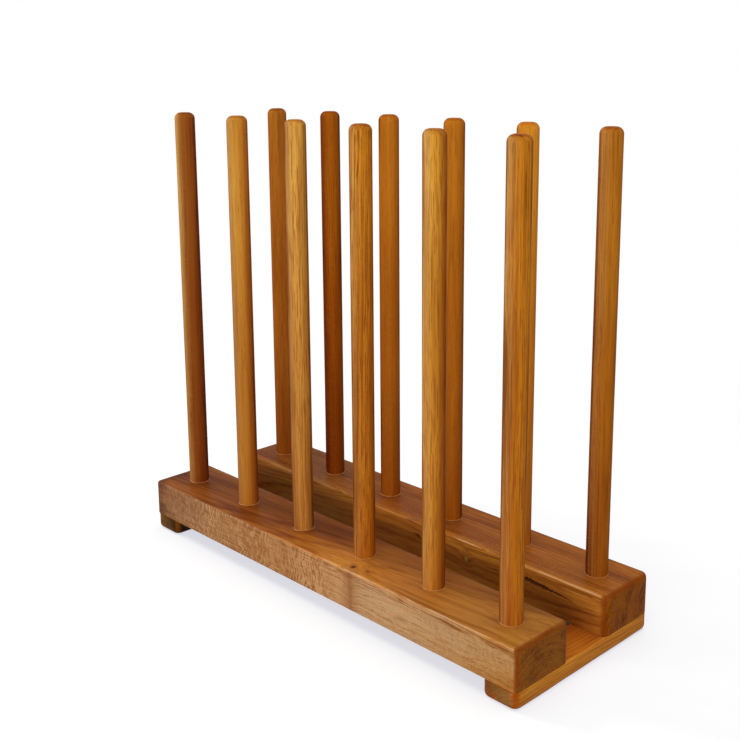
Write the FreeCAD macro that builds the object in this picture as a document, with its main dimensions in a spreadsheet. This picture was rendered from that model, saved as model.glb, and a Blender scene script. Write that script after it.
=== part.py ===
import FreeCAD, Part
import os

import Sketcher

# Boot rack: two oak rails lie side by side on two cross battens, and each rail
# carries a row of upright dowels that boots are hung over.
# +X runs along the rails to the right, +Y to the back and +Z up.
# The origin is on the floor, under the middle of the rack.

# Driving dimensions in millimetres, an angle in degrees and two counts.
SIZES = {
    "dowels_per_rail": 6,
    "dowel_pitch": 107.5,
    "dowel_end_margin": 41.25,
    "dowel_diameter": 25,
    "dowel_reach": 485,
    "dowel_top_flat": 10,
    "dowel_foot_chamfer": 1.5,
    "socket_floor": 16,
    "socket_clearance": 0.1,
    "rail_width": 82,
    "rail_height": 46,
    "rail_gap": 64,
    "rail_corner_radius": 6,
    "rail_edge_radius": 3.5,
    "batten_width": 45,
    "batten_thickness": 20,
    "batten_corner_radius": 9,
    "batten_edge_radius": 6,
    "seam_easing": 1,
    "screws_per_crossing": 2,
    "screw_side_margin": 19,
    "screw_cover": 15,
    "screw_recess": 1,
    "screw_hole_clearance": 0.1,
    "screw_thread_diameter": 4.5,
    "screw_shank_diameter": 3.3,
    "screw_point_length": 6,
    "screw_head_diameter": 8.8,
    "screw_head_rim": 0.4,
    "screw_head_angle": 90,
    "screw_cross_margin": 2.2,
    "screw_cross_width": 1.1,
    "screw_cross_depth": 2,
}

# Measures that follow from the driving ones, as expressions of the document.
ROW_LENGTH = "((Sizes.dowels_per_rail - 1) * Sizes.dowel_pitch)"
RAIL_LENGTH = f"({ROW_LENGTH} + 2 * Sizes.dowel_end_margin)"
RAIL_CENTRE = "((Sizes.rail_gap + Sizes.rail_width) / 2)"
RACK_DEPTH = "(Sizes.rail_gap + 2 * Sizes.rail_width)"
BATTEN_CENTRE = f"(({RAIL_LENGTH} - Sizes.batten_width) / 2)"
SOCKET_DIAMETER = "(Sizes.dowel_diameter + 2 * Sizes.socket_clearance)"
SOCKET_DEPTH = "(Sizes.rail_height - Sizes.socket_floor)"
DOWEL_LENGTH = f"({SOCKET_DEPTH} + Sizes.dowel_reach)"
DOWEL_TOP_RADIUS = "((Sizes.dowel_diameter - Sizes.dowel_top_flat) / 2)"
PILOT_DEPTH = "(Sizes.rail_height - Sizes.screw_cover)"
SCREW_LENGTH = f"(Sizes.batten_thickness - Sizes.screw_recess + {PILOT_DEPTH})"
SCREW_HOLE = "(Sizes.screw_thread_diameter + 2 * Sizes.screw_hole_clearance)"
SCREW_SPREAD = "(Sizes.rail_width - 2 * Sizes.screw_side_margin)"
SCREW_SPACING = f"({SCREW_SPREAD} / max(Sizes.screws_per_crossing - 1; 1))"
HEAD_SLOPE = "tan(Sizes.screw_head_angle / 2)"
HEAD_TAPER = "((Sizes.screw_head_diameter - Sizes.screw_shank_diameter) / 2)"
HEAD_LENGTH = f"(Sizes.screw_head_rim + {HEAD_TAPER} / {HEAD_SLOPE})"
COUNTERSINK_REACH = "(Sizes.screw_recess + Sizes.screw_head_rim + Sizes.screw_hole_clearance)"
COUNTERSINK = f"(Sizes.screw_head_diameter + 2 * {COUNTERSINK_REACH} * {HEAD_SLOPE})"

# The front row is towards -Y and the left end towards -X.
ROWS = {"front": -1, "back": 1}
ENDS = {"left": -1, "right": 1}

CUTTING_FEATURES = ("PartDesign::Pocket", "PartDesign::Hole")
LEVEL_TOLERANCE = 0.001


def make_sheet(document):
    """Put the driving dimensions in a spreadsheet, one named cell each."""
    sheet = document.addObject("Spreadsheet::Sheet", "Sizes")
    for row, (alias, value) in enumerate(SIZES.items(), start=1):
        sheet.set(f"A{row}", str(value))
        sheet.setAlias(f"A{row}", alias)
    document.recompute()
    return sheet


def bind(item, expressions):
    """Tie properties of an object to expressions of the spreadsheet."""
    for name, expression in expressions.items():
        item.setExpression(name, expression)


def new_body(document, label, x="0", y="0", z="0"):
    """Start a sub-part whose origin stands at the given place."""
    body = document.addObject("PartDesign::Body", label)
    body.Label = label
    bind(body, {"Placement.Base.x": x, "Placement.Base.y": y, "Placement.Base.z": z})
    return body


def origin_item(body, role):
    """Find one of a body's own origin planes or axes."""
    return next(item for item in body.Origin.OriginFeatures if item.Role == role)


def new_sketch(body, name, plane, level="0"):
    """Attach an empty sketch to a plane of the body's origin, lifted to a level."""
    sketch = body.newObject("Sketcher::SketchObject", f"{body.Name}_{name}")
    sketch.AttachmentSupport = [(origin_item(body, plane), "")]
    sketch.MapMode = "FlatFace"
    bind(sketch, {"AttachmentOffset.Base.z": level})
    return sketch


def new_feature(body, kind, name, profile=None):
    """Add a feature to the body, from a sketch or on the shape so far."""
    feature = body.newObject(f"PartDesign::{kind}", f"{body.Name}_{name}")
    if profile is not None:
        feature.Profile = profile
    return feature


def constrain(sketch, expression, kind, *geometry):
    """Add a constraint whose value is an expression."""
    value = sketch.evalExpression(expression)
    index = sketch.addConstraint(Sketcher.Constraint(kind, *geometry, value))
    bind(sketch, {f"Constraints[{index}]": expression})


def fix_point(sketch, place, geometry, corner):
    """Hold a point of the sketch at a place measured from the sketch's origin."""
    x, y = place
    constrain(sketch, x, "DistanceX", -1, 1, geometry, corner)
    constrain(sketch, y, "DistanceY", -1, 1, geometry, corner)


def locate(sketch, place):
    """Where a place given by two expressions is now."""
    x, y = (sketch.evalExpression(expression) for expression in place)
    return FreeCAD.Vector(x, y, 0)


def draw_outline(sketch, places):
    """Draw straight lines round a closed outline through the places."""
    followers = places[1:] + places[:1]
    lines = []
    for start, end in zip(places, followers):
        segment = Part.LineSegment(locate(sketch, start), locate(sketch, end))
        lines.append(sketch.addGeometry(segment, False))
    for line, follower in zip(lines, lines[1:] + lines[:1]):
        sketch.addConstraint(Sketcher.Constraint("Coincident", line, 2, follower, 1))
    for line, start in zip(lines, places):
        fix_point(sketch, start, line, 1)


def draw_rectangle(sketch, length, width):
    """Draw a rectangle centred on the sketch's origin."""
    corners = ((-1, -1), (1, -1), (1, 1), (-1, 1))
    draw_outline(sketch, [(f"{i} * {length} / 2", f"{j} * {width} / 2") for i, j in corners])


def draw_circle(sketch, place, diameter):
    """Draw a circle about a place."""
    radius = sketch.evalExpression(diameter) / 2
    ring = Part.Circle(locate(sketch, place), FreeCAD.Vector(0, 0, 1), radius)
    circle = sketch.addGeometry(ring, False)
    fix_point(sketch, place, circle, 3)
    constrain(sketch, diameter, "Diameter", circle)


def sort_edges(shape):
    """Name the edges round the top, round the underside and between the two."""
    heights = [vertex.Z for vertex in shape.Vertexes]
    levels = {"top": max(heights), "underside": min(heights)}
    names = {"top": [], "underside": [], "upright": []}
    for number, edge in enumerate(shape.Edges, start=1):
        place = "upright"
        for side, level in levels.items():
            if all(abs(vertex.Z - level) < LEVEL_TOLERANCE for vertex in edge.Vertexes):
                place = side
        names[place].append(f"Edge{number}")
    return names


def dress_edges(body, kind, name, place, expressions):
    """Round or chamfer the edges at one place of the shape so far."""
    body.Document.recompute()
    base = body.Tip
    feature = new_feature(body, kind, name)
    feature.Base = (base, sort_edges(base.Shape)[place])
    bind(feature, expressions)
    body.Document.recompute()


def round_bar(body, corner_radius, edge_radius, exposed, seam):
    """Round a bar's corners and exposed face, and only ease the face at the seam."""
    dress_edges(body, "Fillet", "corners", "upright", {"Radius": corner_radius})
    dress_edges(body, "Fillet", "roundover", exposed, {"Radius": edge_radius})
    dress_edges(body, "Fillet", "easing", seam, {"Radius": "Sizes.seam_easing"})


def add_pattern(body, name, originals, axis, count, spacing):
    """Repeat features along one of the body's axes."""
    pattern = new_feature(body, "LinearPattern", name)
    pattern.Originals = originals
    pattern.Direction = (origin_item(body, axis), [""])
    pattern.Mode = "Spacing"
    bind(pattern, {"Occurrences": count, "Offset": spacing})
    body.Tip = pattern


def screw_places(sheet, columns, rows):
    """Places of the screws that stand about each crossing of a rail and a batten."""
    places = []
    for x in columns:
        for y in rows:
            for number in range(int(sheet.get("screws_per_crossing"))):
                places.append((x, f"{y} - {SCREW_SPREAD} / 2 + {number} * {SCREW_SPACING}"))
    return places


def drill_upward(body, name, places, depth):
    """Drill screw holes into the underside."""
    sketch = new_sketch(body, f"{name}_places", "XY_Plane")
    for place in places:
        draw_circle(sketch, place, SCREW_HOLE)
    body.Document.recompute()
    hole = new_feature(body, "Hole", name, sketch)
    hole.Reversed = True
    hole.DepthType = "Dimension"
    bind(hole, {"Diameter": SCREW_HOLE, "Depth": depth})
    return hole


def make_rail(document, sheet, label, side):
    """A rail with rounded top and ends, blind sockets above and pilot holes below."""
    body = new_body(document, label, y=f"{side} * {RAIL_CENTRE}", z="Sizes.batten_thickness")
    outline = new_sketch(body, "outline", "XY_Plane")
    draw_rectangle(outline, RAIL_LENGTH, "Sizes.rail_width")
    bar = new_feature(body, "Pad", "bar", outline)
    bind(bar, {"Length": "Sizes.rail_height"})
    round_bar(body, "Sizes.rail_corner_radius", "Sizes.rail_edge_radius", "top", "underside")

    mouth = new_sketch(body, "socket_mouth", "XY_Plane", "Sizes.rail_height")
    draw_circle(mouth, (f"-{ROW_LENGTH} / 2", "0"), SOCKET_DIAMETER)
    socket = new_feature(body, "Pocket", "socket", mouth)
    bind(socket, {"Length": SOCKET_DEPTH})
    add_pattern(body, "sockets", [socket], "X_Axis",
                "Sizes.dowels_per_rail", "Sizes.dowel_pitch")

    columns = [f"{end} * {BATTEN_CENTRE}" for end in ENDS.values()]
    drill_upward(body, "pilot_holes", screw_places(sheet, columns, ["0"]), PILOT_DEPTH)
    return body


def make_batten(document, sheet, label, end):
    """A cross batten, rounded below and at its ends, drilled for countersunk screws."""
    body = new_body(document, label, x=f"{end} * {BATTEN_CENTRE}")
    outline = new_sketch(body, "outline", "XY_Plane")
    draw_rectangle(outline, "Sizes.batten_width", RACK_DEPTH)
    bar = new_feature(body, "Pad", "bar", outline)
    bind(bar, {"Length": "Sizes.batten_thickness"})
    round_bar(body, "Sizes.batten_corner_radius", "Sizes.batten_edge_radius",
              "underside", "top")

    rows = [f"{side} * {RAIL_CENTRE}" for side in ROWS.values()]
    places = screw_places(sheet, ["0"], rows)
    hole = drill_upward(body, "screw_holes", places, "Sizes.batten_thickness")
    hole.HoleCutType = "Countersink"
    hole.HoleCutCustomValues = True
    bind(hole, {"HoleCutDiameter": COUNTERSINK,
                "HoleCutCountersinkAngle": "Sizes.screw_head_angle"})
    return body


def make_dowel(document, label, side, number):
    """An upright dowel with a rounded top, its foot on the floor of a socket."""
    body = new_body(
        document,
        label,
        x=f"{number} * Sizes.dowel_pitch - {ROW_LENGTH} / 2",
        y=f"{side} * {RAIL_CENTRE}",
        z="Sizes.batten_thickness + Sizes.socket_floor",
    )
    section = new_sketch(body, "section", "XY_Plane")
    draw_circle(section, ("0", "0"), "Sizes.dowel_diameter")
    rod = new_feature(body, "Pad", "rod", section)
    bind(rod, {"Length": DOWEL_LENGTH})
    dress_edges(body, "Fillet", "rounded_top", "top", {"Radius": DOWEL_TOP_RADIUS})
    dress_edges(body, "Chamfer", "foot", "underside", {"Size": "Sizes.dowel_foot_chamfer"})
    return body


def make_screws(document, label, side, end):
    """Countersunk wood screws, driven up through a batten into a rail."""
    body = new_body(
        document,
        label,
        x=f"{end} * {BATTEN_CENTRE}",
        y=f"{side} * {RAIL_CENTRE} - {SCREW_SPREAD} / 2",
        z="Sizes.screw_recess",
    )
    body.AllowCompound = True

    head = "Sizes.screw_head_diameter / 2"
    shank = "Sizes.screw_shank_diameter / 2"
    thread = "Sizes.screw_thread_diameter / 2"
    thread_start = "Sizes.batten_thickness - Sizes.screw_recess"
    profile = new_sketch(body, "profile", "XZ_Plane")
    draw_outline(profile, [
        ("0", "0"),
        (head, "0"),
        (head, "Sizes.screw_head_rim"),
        (shank, HEAD_LENGTH),
        (shank, thread_start),
        (thread, thread_start),
        (thread, f"{SCREW_LENGTH} - Sizes.screw_point_length"),
        ("0", SCREW_LENGTH),
    ])
    turned = new_feature(body, "Revolution", "turned", profile)
    turned.ReferenceAxis = (profile, ["V_Axis"])

    wing = "(Sizes.screw_head_diameter / 2 - Sizes.screw_cross_margin)"
    half = "Sizes.screw_cross_width / 2"
    drive = new_sketch(body, "drive", "XY_Plane")
    draw_outline(drive, [
        (f"-{wing}", f"-{half}"),
        (f"-{half}", f"-{half}"),
        (f"-{half}", f"-{wing}"),
        (half, f"-{wing}"),
        (half, f"-{half}"),
        (wing, f"-{half}"),
        (wing, half),
        (half, half),
        (half, wing),
        (f"-{half}", wing),
        (f"-{half}", half),
        (f"-{wing}", half),
    ])
    cross = new_feature(body, "Pocket", "cross", drive)
    cross.Reversed = True
    bind(cross, {"Length": "Sizes.screw_cross_depth"})
    add_pattern(body, "row", [turned, cross], "Y_Axis",
                "Sizes.screws_per_crossing", SCREW_SPACING)
    return body


def make_rack(document):
    """Build every sub-part and return the bodies."""
    sheet = make_sheet(document)
    bodies = []
    for end_name, end in ENDS.items():
        bodies.append(make_batten(document, sheet, f"{end_name}_batten", end))
    for row_name, side in ROWS.items():
        bodies.append(make_rail(document, sheet, f"{row_name}_rail", side))
        for number in range(int(sheet.get("dowels_per_rail"))):
            label = f"{row_name}_dowel_{number + 1}"
            bodies.append(make_dowel(document, label, side, number))
        for end_name, end in ENDS.items():
            label = f"{row_name}_{end_name}_screws"
            bodies.append(make_screws(document, label, side, end))
    return bodies


def check_document(document, bodies):
    """Stop if a feature failed, a cut removed nothing or a sub-part is unsound."""
    for item in document.Objects:
        if "Invalid" in item.State or "Error" in item.State:
            raise RuntimeError(f"{item.Name} did not compute")
        if item.TypeId in CUTTING_FEATURES:
            if item.Shape.Volume >= item.BaseFeature.Shape.Volume:
                raise RuntimeError(f"{item.Name} removed no material")
    for body in bodies:
        if body.Shape.isNull() or not body.Shape.isValid():
            raise RuntimeError(f"{body.Label} has no sound shape")


def main():
    """Build the rack, check it and write one file for each sub-part."""
    document = FreeCAD.newDocument("boot_rack")
    bodies = make_rack(document)
    document.recompute()
    check_document(document, bodies)
    os.makedirs("parts", exist_ok=True)
    for body in bodies:
        body.Shape.exportStep(os.path.join("parts", f"{body.Label}.step"))


main()
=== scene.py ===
import math
from functools import cache, partial, reduce

import bmesh
import bpy
from bpy.props import FloatProperty, FloatVectorProperty, PointerProperty
from mathutils import Matrix, Vector, noise


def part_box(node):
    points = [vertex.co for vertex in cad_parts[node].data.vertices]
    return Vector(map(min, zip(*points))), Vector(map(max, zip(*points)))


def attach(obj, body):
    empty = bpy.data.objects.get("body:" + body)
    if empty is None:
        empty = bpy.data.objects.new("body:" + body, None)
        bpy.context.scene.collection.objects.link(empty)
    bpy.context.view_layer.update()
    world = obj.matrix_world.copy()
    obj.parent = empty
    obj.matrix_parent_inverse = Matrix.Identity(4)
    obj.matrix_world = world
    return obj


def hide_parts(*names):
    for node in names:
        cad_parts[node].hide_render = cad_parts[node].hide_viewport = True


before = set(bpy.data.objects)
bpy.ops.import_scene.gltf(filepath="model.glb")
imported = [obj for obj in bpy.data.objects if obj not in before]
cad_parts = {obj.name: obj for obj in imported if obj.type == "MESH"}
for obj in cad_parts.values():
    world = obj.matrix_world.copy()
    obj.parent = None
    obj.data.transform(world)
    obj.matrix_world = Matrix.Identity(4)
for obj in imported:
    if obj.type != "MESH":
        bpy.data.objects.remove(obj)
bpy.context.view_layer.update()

# A boot rack in oiled oak: two rails lie on two cross battens, and each rail carries
# a row of upright dowels. +X runs along the rails, +Y to the back and +Z up.

bl_info = {
    "name": "Boot rack",
    "version": (1, 0, 0),
    "blender": (4, 5, 0),
    "location": "3D View > Sidebar > Boot rack",
    "description": "Dresses an oak boot rack with sanded bars, turned dowels and grain",
    "category": "Object",
}

MM = 0.001
TO_MM = (1 / MM, 1 / MM, 1 / MM)

RAILS = ("front_rail", "back_rail")
BATTENS = ("left_batten", "right_batten")
DOWELS = sorted(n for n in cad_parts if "_dowel_" in n)
SCREWS = sorted(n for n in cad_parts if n.endswith("_screws"))

# Kinds of node. A pair also holds the settings that the kind is used with.
NOISE = "ShaderNodeTexNoise"
RANGE = "ShaderNodeMapRange"
SMOOTH = (RANGE, {"interpolation_type": "SMOOTHSTEP"})
MIX = ("Mix", {"data_type": "RGBA"})
TINT = ("Mix", {"data_type": "RGBA", "blend_type": "MULTIPLY"})
RAMP = "ValToRGB"
JOIN = "ShaderNodeCombineXYZ"
SPLIT = "ShaderNodeSeparateXYZ"
CIRCLE = "CurvePrimitiveCircle"


def linear(hex_colour):
    """The linear RGB of an sRGB hex colour."""
    channels = [int(hex_colour[i:i + 2], 16) / 255 for i in (1, 3, 5)]
    return [c / 12.92 if c <= 0.04045 else ((c + 0.055) / 1.055) ** 2.4 for c in channels]


def a_length(name, millimetres, about):
    """A length that a user may change."""
    return FloatProperty(name=name, description=about, default=millimetres * MM, min=0,
                         subtype="DISTANCE", unit="LENGTH")


def a_colour(name, hex_colour, about):
    """A colour that a user may change."""
    return FloatVectorProperty(name=name, description=about, default=linear(hex_colour),
                               size=3, min=0, max=1, subtype="COLOR")


def a_share(name, share, about):
    """A share from nothing to all."""
    return FloatProperty(name=name, description=about, default=share, min=0, max=1,
                         subtype="FACTOR")


def a_power(name, watts, about):
    """A lamp's power."""
    return FloatProperty(name=name, description=about, default=watts, min=0, unit="POWER")


class BootRackSizes(bpy.types.PropertyGroup):
    """Sizes of the roundings and of the small work."""

    rail_edge: a_length("Rail edge rounding", 3.5, "Along a rail's long top edges")
    rail_end: a_length("Rail end rounding", 6.5, "Along a rail's top end edges")
    rail_corner: a_length("Rail corner rounding", 6, "The front rail's corners")
    back_corner: a_length("Back corner rounding", 8.5, "The back rail's corners")
    batten_edge: a_length("Batten edge rounding", 6, "Along a batten's underside")
    batten_corner: a_length("Batten corner rounding", 9, "Its upright corners")
    seam_easing: a_length("Seam easing", 1, "Where a rail meets a batten")
    sanding: a_share("Hand sanding", 0.1, "How far a rounding varies")
    socket_clearance: a_length("Socket clearance", 0.1, "Gap round a dowel in its socket")
    dowel_top: a_length("Dowel top rounding", 7.5, "A dowel's rounded top")
    dowel_foot: a_length("Dowel foot chamfer", 1.5, "Chamfer hidden in the socket")
    dowel_wobble: a_length("Dowel unevenness", 0.12, "How far a dowel is from round")
    oil_width: a_length("Oil bead width", 0.8, "The oil left round a dowel")
    oil_height: a_length("Oil bead height", 0.5, "How high that oil stands")
    thread_pitch: a_length("Screw thread pitch", 2.2, "Rise of the thread in one turn")


class BootRackFinish(bpy.types.PropertyGroup):
    """Colours of the oak and the steel."""

    light: a_colour("Late wood", "#D8982E", "The palest wood of a year")
    middle: a_colour("Oak", "#AA6A2B", "The colour of most of the oak")
    dark: a_colour("Early wood", "#663A14", "The open wood of a year")
    pore: a_colour("Pores", "#4E270C", "Oil and dust in the open pores")
    fleck: a_colour("Ray flecks", "#CBA377", "The figure on quartered faces")
    # Painted shade: the inside of a check is coloured dark, as its depth would shade it.
    check: a_colour("Drying checks", "#6A3818", "The inside of a crack")
    oil: a_colour("Oil bead", "#BE8040", "Hardened oil round a dowel's foot")
    steel: a_colour("Steel", "#CEC4A2", "Yellow zinc plating of the screws")
    roughness: a_share("Oak roughness", 0.42, "How dull the oiled oak is")


class BootRackStage(bpy.types.PropertyGroup):
    """The floor and the lamps."""

    floor: a_colour("Floor", "#B4B2A4", "The plain floor, before the lift")
    lift: a_colour("Floor lift", "#CCCED8", "What makes the bare floor white")
    front: a_power("Front lamp", 26, "The low soft lamp in front")
    side: a_power("Side lamp", 14, "The small lamp on the left")
    top: a_power("Top lamp", 37, "The large soft lamp above")
    room: a_share("Room light", 0.28, "The light from all round")


# ---------------------------------------------------------------- nodes and meshes

def wire(sockets, sources):
    """Give each socket its source: a value, a socket, or a node for its first output.

    A list holds the sources of a socket that takes many."""
    for socket, source in zip(sockets, sources):
        for item in source if isinstance(source, list) else [source]:
            if isinstance(item, bpy.types.Node):
                item = next(s for s in item.outputs if s.enabled)
            if isinstance(item, bpy.types.NodeSocket):
                socket.id_data.links.new(item, socket)
            else:
                socket.default_value = item


def add(tree, kind, *sources, **settings):
    """Add a node with its settings and links.

    A kind in capitals is an operation of the Math node, or after V_ of Vector Math, and
    one without Node in its name is of the tree's own sort. The sources fill the inputs
    in order, or by name where a dictionary holds them."""
    if isinstance(kind, tuple):
        kind, settings = kind[0], {**kind[1], **settings}
    if kind.isupper():
        settings["operation"] = kind.removeprefix("V_")
        kind = "ShaderNodeVectorMath" if kind.startswith("V_") else "ShaderNodeMath"
    elif "Node" not in kind:
        kind = tree.bl_idname.removesuffix("Tree") + kind
    node = tree.nodes.new(kind)
    for name, value in settings.items():
        setattr(node, name, value)
    sockets = [s for s in node.inputs if s.enabled]
    if sources and isinstance(sources[0], dict):
        sockets = [next(s for s in sockets if s.name == name) for name in sources[0]]
        sources = sources[0].values()
    wire(sockets, sources)
    return node


def waves(node, place, lengths, detail):
    """Noise whose waves have a length of their own along each axis."""
    stretched = node("V_MULTIPLY", place, tuple(1 / length for length in lengths))
    return node(NOISE, stretched, 1.0, detail)


def set_stops(ramp, interpolation, stops):
    """Lay a colour ramp's stops from 0 to 1. Each is a grey or a hex colour."""
    ramp.color_ramp.interpolation = interpolation
    elements = ramp.color_ramp.elements
    for position in list(stops)[1:-1]:
        elements.new(position)
    for element, value in zip(elements, stops.values()):
        rgb = linear(value) if isinstance(value, str) else (value, value, value)
        element.color = (*rgb, 1)
    return ramp


def emptied(owner):
    """Empty a material's or a world's node tree, and give what adds a node to it."""
    owner.use_nodes = True
    owner.node_tree.nodes.clear()
    return partial(add, owner.node_tree)


def new_group(name, inputs, outputs=None):
    """A shader group, or a geometry tree where no outputs are named.

    Gives the tree, what adds a node to it, and its inputs. An input is the kind of its
    socket or the value that it starts with."""
    kinds = {float: "Float", int: "Int", tuple: "Color"}
    tree = bpy.data.node_groups.new(name, "ShaderNodeTree" if outputs else "GeometryNodeTree")
    if not outputs:
        outputs = {"Geometry": "Geometry"}
        inputs = {**outputs, **inputs, "Material": "Material"}
    for side, sockets in (("INPUT", inputs), ("OUTPUT", outputs)):
        for label, value in sockets.items():
            socket = "NodeSocket" + kinds.get(type(value), value)
            item = tree.interface.new_socket(label, in_out=side, socket_type=socket)
            if type(value) in kinds:
                item.default_value = value
    node = partial(add, tree)
    return tree, node, node("NodeGroupInput").outputs


def new_object(name, data):
    """Link an object at the origin."""
    item = bpy.data.objects.new(name, data)
    bpy.context.scene.collection.objects.link(item)
    return item


def keep_result(item):
    """Replace an object's mesh by what its modifiers make of it."""
    bpy.context.view_layer.update()
    depsgraph = bpy.context.evaluated_depsgraph_get()
    mesh = bpy.data.meshes.new_from_object(item.evaluated_get(depsgraph), depsgraph=depsgraph)
    mesh.name = item.name
    item.modifiers.clear()
    item.data = mesh


def grow(name, tree, values, points=()):
    """Run a geometry tree on an object with these points, and keep a plain mesh."""
    mesh = bpy.data.meshes.new("points")
    mesh.from_pydata(points, [], [])
    item = new_object(name, mesh)
    modifier = item.modifiers.new(tree.name, "NODES")
    modifier.node_group = tree
    for socket in tree.interface.items_tree:
        if getattr(socket, "in_out", "") == "INPUT" and socket.name in values:
            modifier[socket.identifier] = values[socket.name]
    keep_result(item)
    return item


def measured(node):
    """A CAD node's box, its middle and half its width along X."""
    low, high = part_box(node)
    return low, high, (low + high) / 2, (high.x - low.x) / 2


def hand_over(item, slot, *nodes, sharp=35):
    """Finish a piece: clean its mesh, let it ride on the rack and stand for its CAD nodes."""
    mesh = item.data
    solid = bmesh.new()
    solid.from_mesh(mesh)
    bmesh.ops.remove_doubles(solid, verts=solid.verts, dist=1e-6)
    bmesh.ops.dissolve_degenerate(solid, edges=solid.edges, dist=1e-7)
    bmesh.ops.recalc_face_normals(solid, faces=solid.faces)
    for face in solid.faces:
        face.smooth = True
    solid.to_mesh(mesh)
    solid.free()
    mesh.set_sharp_from_angle(angle=math.radians(sharp))
    if not mesh.polygons:
        raise RuntimeError(f"{item.name} came out empty")
    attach(item, "root")
    if nodes:
        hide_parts(*nodes)


# ---------------------------------------------------------------- oak

@cache
def oak_figure():
    """The inside of an oak trunk, read in millimetres about its pith, with X along the grain.

    Rings, pores and rays are laid in the solid, so each face of a bar shows what a saw
    would have opened there: loops, straight grain, silver flecks or end grain."""
    tree, node, ins = new_group("Oak figure", {
        "Place": "Vector", "Facing": "Vector", "Ring width": 3.0, "Wander": 24.0,
        "Swirl": 0.0, "Contrast": 1.0, "Rings": 1.0, "Specks": 0.35, "Fleck": 0.4,
        "Silver": 0.2, "Stripes": 0.0, "Streak width": 2.3, "Edge": 0.95,
        "Tint": (1, 1, 1, 1), "Light": "Color", "Middle": "Color", "Dark": "Color",
        "Pore": "Color", "Quarter": "Color", "Ray": "Color", "Worn": "Color",
        "End": (0.74, 0.62, 0.34, 1),
    }, {"Color": "Color", "Roughness": "Float", "Height": "Float"})
    times = partial(node, "MULTIPLY")

    # The pith wanders over a hand's length, which draws a flat-sawn face's loops, and the
    # fibres ripple over a thumb's width.
    wander = waves(node, ins["Place"], (260, 90, 90), 1.0).outputs["Color"]
    wander = node("V_SUBTRACT", wander, (0.5, 0.5, 0.5))
    amount = node(JOIN, 0, ins["Wander"], ins["Wander"])
    bent = node("V_MULTIPLY_ADD", wander, amount, ins["Place"])
    ripple = waves(node, ins["Place"], (80, 20, 20), 2.0)
    bent = node("V_MULTIPLY_ADD", ripple.outputs["Color"], (0, 2.4, 2.4), bent)

    # Distance along the grain, from the pith and round it.
    along, out, up = node(SPLIT, bent).outputs
    flat = node("V_MULTIPLY", bent, (0, 1, 1))
    reach = node("V_LENGTH", flat)
    swirled = node("ADD", reach, ins["Swirl"])
    arc = times(node("ARCTAN2", up, out), 50.0)
    grain = node(JOIN, along, swirled, arc)

    # Years differ in width and in tone.
    seasons = node(NOISE, node(JOIN, swirled), 0.11, 0.0)
    counted = node("DIVIDE", swirled, ins["Ring width"])
    years = node("MULTIPLY_ADD", seasons, 2.2, counted)
    year = node("FLOOR", years)
    year_tone = node("TexWhiteNoise", {"W": year}, noise_dimensions="1D")
    early = set_stops(node(RAMP, node("FRACT", years)), "B_SPLINE",
                      {0: 1, 0.14: 0.75, 0.32: 0.2, 0.55: 0, 0.92: 0, 1: 1})

    # Fibre streaks 2 to 3 mm wide and a hand long, and slow clouds.
    fibre = node("V_MULTIPLY", grain, (1 / 60, 1.0, 1 / 1.2))
    fibre = node("V_SCALE", fibre, node("DIVIDE", 1.0, ins["Streak width"]))
    streak = node(NOISE, fibre, 1.0, 5.0, 0.68)
    cloud = waves(node, grain, (190, 16, 24), 2.0)

    # Real pores are 0.3 mm wide and 5 mm long; drawn twice as coarse so that they show.
    pores = node(SMOOTH, waves(node, grain, (16, 0.8, 0.9), 1.0), 0.6, 0.75)
    pores = times(pores, node(RANGE, early, 0, 1, 0.2, 0.8))

    # Short dark streaks, where the pores are full of oil, come in crowds.
    specks = waves(node, grain, (30, 1.1, 1.1), 2.0)
    specks = node(SMOOTH, node("MULTIPLY_ADD", cloud, 0.35, specks), 0.71, 0.84)
    specks = times(specks, ins["Specks"])

    # Rays are thin sheets that stand on the pith. Most are cut short and show as little
    # bent flecks; in some stretches they run up the whole face as fine stripes.
    sway = waves(node, grain, (34, 20, 60), 1.0)
    sheet = node(JOIN, node("MULTIPLY_ADD", sway, 26.0, along), reach, arc)
    crowd = node(NOISE, along, 0.016, 0.0)
    layers = []
    for lengths, threshold in (((1.8, 8, 3), 0.69), ((2.8, 60, 24), 0.66)):
        mottle = node("MULTIPLY_ADD", crowd, 0.22, waves(node, sheet, lengths, 0.0))
        layers.append(node(SMOOTH, mottle, threshold - 0.05, threshold + 0.06))
    rays = node("MAXIMUM", layers[0], times(layers[1], ins["Stripes"]))

    # How far a face is quartered, and how far it is end grain.
    across = node(SPLIT, node("V_CROSS_PRODUCT", flat, ins["Facing"])).outputs[0]
    quarter = node("ABSOLUTE", node("DIVIDE", across, reach))
    quartered = node(SMOOTH, quarter, 0.55, 0.97)
    end_on = node("ABSOLUTE", node(SPLIT, ins["Facing"]).outputs[0])
    end_grain = node(SMOOTH, end_on, 0.5, 0.9)

    # Tone from dark early wood to pale late wood.
    drawn = times(node("MULTIPLY_ADD", year_tone, -0.55, -0.12), ins["Rings"])
    tone = times(streak, 1.35)
    for source, weight in ((early, drawn), (year_tone, 0.24), (cloud, 1.3)):
        tone = node("MULTIPLY_ADD", source, weight, tone)
    tone = node("SUBTRACT", tone, 1.34)
    bolder = node("MULTIPLY_ADD", end_grain, 0.6, 1.0)
    tone = node("MULTIPLY_ADD", tone, times(ins["Contrast"], bolder), 0.5)
    colour = node(MIX, node(RANGE, tone, 0.0, 0.5), ins["Dark"], ins["Middle"])

    # Quartered faces are duller and pinker, with the rings as fine dark lines, and the
    # rays flash pale on them. End grain shows the rays faintly.
    mottled = node(RANGE, streak, 0.3, 0.7, 0.35, 1.65)
    silvered = reduce(times, (quartered, ins["Silver"], mottled))
    shown = node("MAXIMUM", silvered, times(end_grain, 0.28))
    open_face = node("MAXIMUM", quartered, times(end_grain, 0.2))
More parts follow.
